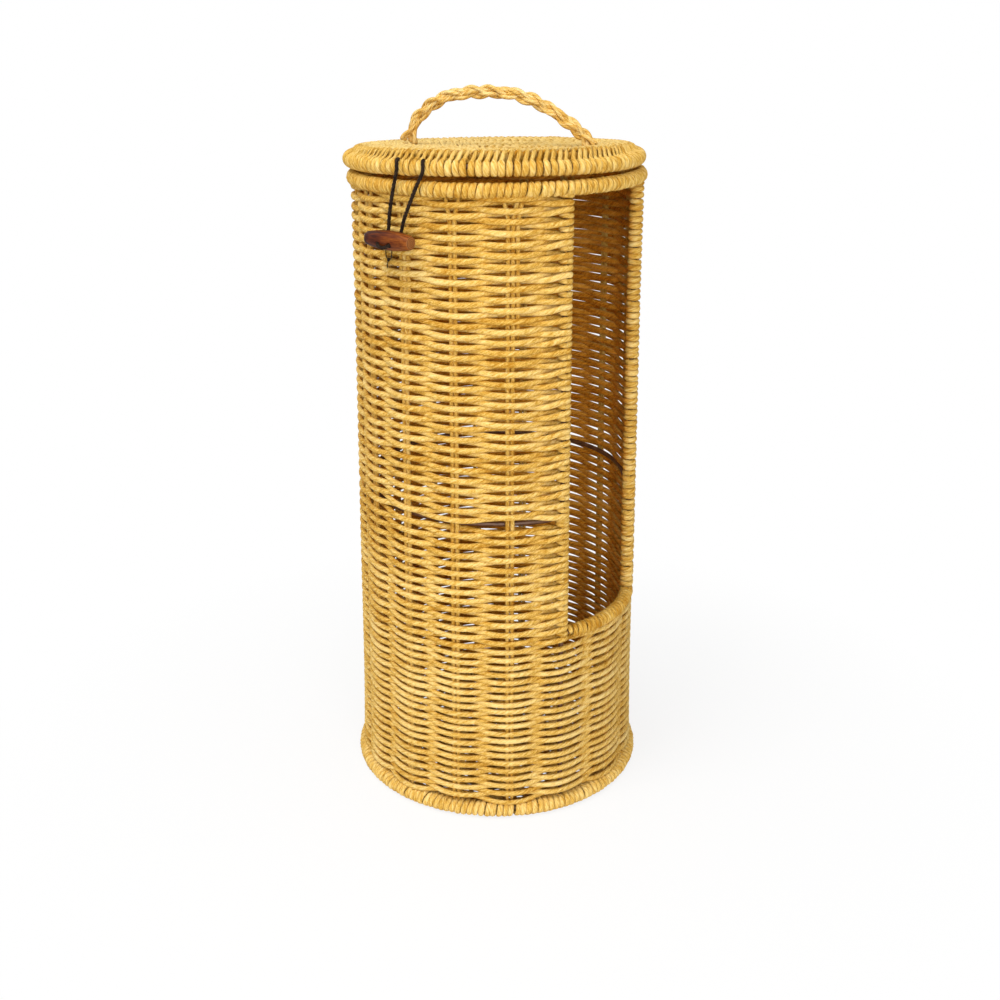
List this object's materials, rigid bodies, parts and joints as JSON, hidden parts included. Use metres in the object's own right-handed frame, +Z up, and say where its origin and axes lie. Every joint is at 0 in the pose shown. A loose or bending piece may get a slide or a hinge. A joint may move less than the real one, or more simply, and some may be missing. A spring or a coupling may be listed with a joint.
{
  "type": "toilet roll basket",
  "caption": "Tall round woven basket for toilet rolls with a window in its side, a hinged lid with a rope handle, and a wooden toggle closure.",
  "frame": {"origin": "middle of the underside of the base, on the surface that the basket stands on", "axes": "+Z up; the closure faces -Y and the lid's hinge is at +Y; the window faces +X"},
  "size_m": [0.1698, 0.1836, 0.4123],
  "materials": {
    "paper_rope": "twisted paper rope, matt straw yellow with a slight sheen",
    "paper_rope_inner": "twisted paper rope, in the shade of the weave",
    "handle_rope": "thick rope of several twisted paper strands",
    "frame_wire": "brown coated steel wire",
    "closure_cord": "waxed dark brown cord",
    "catch_thread": "thin black thread",
    "toggle_wood": "polished reddish brown wood"
  },
  "bodies": {
    "basket": {"base_panel": "paper_rope_inner", "base_spokes": "paper_rope_inner", "base_hoop": "frame_wire", "base_rim_wrap": "paper_rope", "wall_lower": "paper_rope", "wall_middle": "paper_rope", "wall_upper": "paper_rope", "mid_hoop": "frame_wire", "sill_wire": "frame_wire", "sill_wrap": "paper_rope", "window_post_left": "frame_wire", "window_post_right": "frame_wire", "post_wrap_left": "paper_rope", "post_wrap_right": "paper_rope", "window_stake": "paper_rope_inner", "stake_01": "paper_rope_inner", "stake_02": "paper_rope_inner", "stake_03": "paper_rope_inner", "stake_04": "paper_rope_inner", "stake_05": "paper_rope_inner", "stake_06": "paper_rope_inner", "stake_07": "paper_rope_inner", "stake_08": "paper_rope_inner", "stake_09": "paper_rope_inner", "stake_10": "paper_rope_inner", "stake_11": "paper_rope_inner", "stake_12": "paper_rope_inner", "stake_13": "paper_rope_inner", "top_hoop": "frame_wire", "top_rim_wrap": "paper_rope", "hinge_tie_left": "paper_rope", "hinge_tie_right": "paper_rope", "catch_loop": "catch_thread"},
    "lid": {"lid_panel": "paper_rope", "lid_spokes": "paper_rope_inner", "lid_hoop": "frame_wire", "lid_rim_wrap": "paper_rope", "handle": "handle_rope", "cord_root_left": "closure_cord", "cord_root_right": "closure_cord"},
    "closure": {"closure_cord": "closure_cord", "toggle": "toggle_wood"}
  },
  "joints": [
    {"name": "lid_hinge", "type": "hinge", "parent": "basket", "child": "lid", "pos_m": [0, 0.0835, 0.3688], "axis": [-1, 0, 0], "range_deg": [0, 105], "deforming": ["hinge_tie_left", "hinge_tie_right"]},
    {"name": "closure_swing", "type": "hinge", "parent": "lid", "child": "closure", "pos_m": [0.00842, -0.08661, 0.3756], "axis": [-0.9953, -0.0967, 0], "range_deg": [0, 120]}
  ]
}
